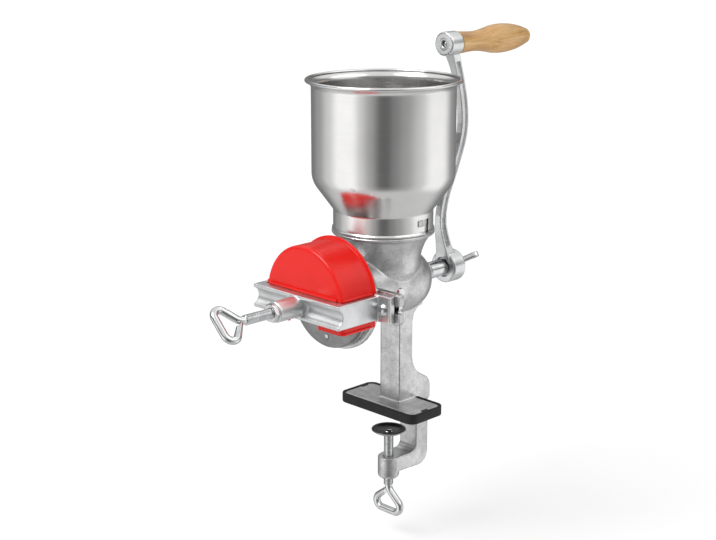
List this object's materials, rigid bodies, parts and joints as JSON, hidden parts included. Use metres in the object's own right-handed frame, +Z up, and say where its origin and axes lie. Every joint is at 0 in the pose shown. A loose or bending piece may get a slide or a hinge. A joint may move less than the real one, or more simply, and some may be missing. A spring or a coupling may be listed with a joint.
{
  "type": "hand grain mill",
  "caption": "Hand-cranked grain mill with a tall steel hopper, worm feed, adjustable plate burrs under a red guard, a bowed crank with a wooden grip and a table clamp.",
  "frame": {"origin": "on the underside of the rubber boot, in the table's top face, straight below the hopper's axis", "axes": "+Z up along the hopper's axis, +Y along the shaft from the adjusting screw to the crank, +X along the yoke's bar"},
  "size_m": [0.1568, 0.4214, 0.4895],
  "materials": {
    "cast_body": "tinned, satin",
    "burr_iron": "hard cast, matt",
    "plated_steel": "bright plated",
    "pad_steel": "dark pressed steel",
    "guard_red": "gloss moulded",
    "boot_rubber": "matt moulded",
    "hopper_steel": "brushed, spun",
    "grip_wood": "turned, lacquered"
  },
  "bodies": {
    "frame": {"mill_head": "cast_body", "clamp_stand": "cast_body", "fixed_burr": "burr_iron", "fixed_burr_screws": "plated_steel", "yoke": "cast_body", "yoke_bolts": "plated_steel", "yoke_washers": "plated_steel", "guard": "guard_red", "rubber_boot": "boot_rubber"},
    "hopper_unit": {"hopper": "hopper_steel"},
    "thrust_unit": {"thrust_ball": "plated_steel"},
    "adjuster": {"adjusting_screw": "plated_steel"},
    "adjuster_nut": {"lock_nut": "plated_steel"},
    "rotor": {"auger_shaft": "plated_steel", "auger_worm": "burr_iron", "burr_carrier": "cast_body", "rotary_burr": "burr_iron", "rotary_burr_rivets": "plated_steel", "drive_pin": "plated_steel", "crank_arm": "cast_body", "grip_spindle": "plated_steel"},
    "crank_screw": {"crank_wing_screw": "plated_steel"},
    "grip_unit": {"grip": "grip_wood"},
    "clamp_foot": {"clamp_pad": "pad_steel"},
    "clamp_handle": {"clamp_screw": "plated_steel"},
    "nut_left": {"wing_nut_left": "plated_steel"},
    "nut_right": {"wing_nut_right": "plated_steel"}
  },
  "joints": [
    {"name": "burr_slide", "type": "slide", "parent": "frame", "child": "thrust_unit", "axis": [0, -1, 0], "range_m": [-0.0005, 0.004]},
    {"name": "adjusting_turn", "type": "hinge", "parent": "thrust_unit", "child": "adjuster", "pos_m": [0, -0.15, 0.133], "axis": [0, -1, 0], "range_deg": [-121, 961]},
    {"name": "crank_turn", "type": "hinge", "parent": "thrust_unit", "child": "rotor", "pos_m": [0, 0, 0.133], "axis": [0, 1, 0], "continuous": true},
    {"name": "grip_spin", "type": "hinge", "parent": "rotor", "child": "grip_unit", "pos_m": [0, 0.16, 0.36], "axis": [0, 1, 0], "continuous": true},
    {"name": "crank_screw_turn", "type": "hinge", "parent": "rotor", "child": "crank_screw", "pos_m": [0, 0.106, 0.133], "axis": [0, 1, 0], "range_deg": [0, 180]},
    {"name": "lock_nut_turn", "type": "hinge", "parent": "frame", "child": "adjuster_nut", "pos_m": [0, -0.1455, 0.133], "axis": [0, -1, 0], "range_deg": [0, 120]},
    {"name": "wing_nut_left_turn", "type": "hinge", "parent": "frame", "child": "nut_left", "pos_m": [-0.0642, -0.048, 0.133], "axis": [0, 1, 0], "range_deg": [0, 180]},
    {"name": "wing_nut_right_turn", "type": "hinge", "parent": "frame", "child": "nut_right", "pos_m": [0.0642, -0.048, 0.133], "axis": [0, 1, 0], "range_deg": [0, 180]},
    {"name": "hopper_twist", "type": "hinge", "parent": "frame", "child": "hopper_unit", "pos_m": [0, 0, 0.26], "axis": [0, 0, 1], "range_deg": [-12, 0]},
    {"name": "clamp_slide", "type": "slide", "parent": "frame", "child": "clamp_foot", "axis": [0, 0, 1], "range_m": [-0.0235, 0.0065]},
    {"name": "clamp_turn", "type": "hinge", "parent": "clamp_foot", "child": "clamp_handle", "pos_m": [0, 0.0095, -0.08], "axis": [0, 0, 1], "range_deg": [-5641, 1561]}
  ],
  "couplings": [
    {"joint": "adjusting_turn", "follows": "burr_slide", "rad_per_m": 4188.8},
    {"joint": "clamp_turn", "follows": "clamp_slide", "rad_per_m": 4188.8}
  ]
}
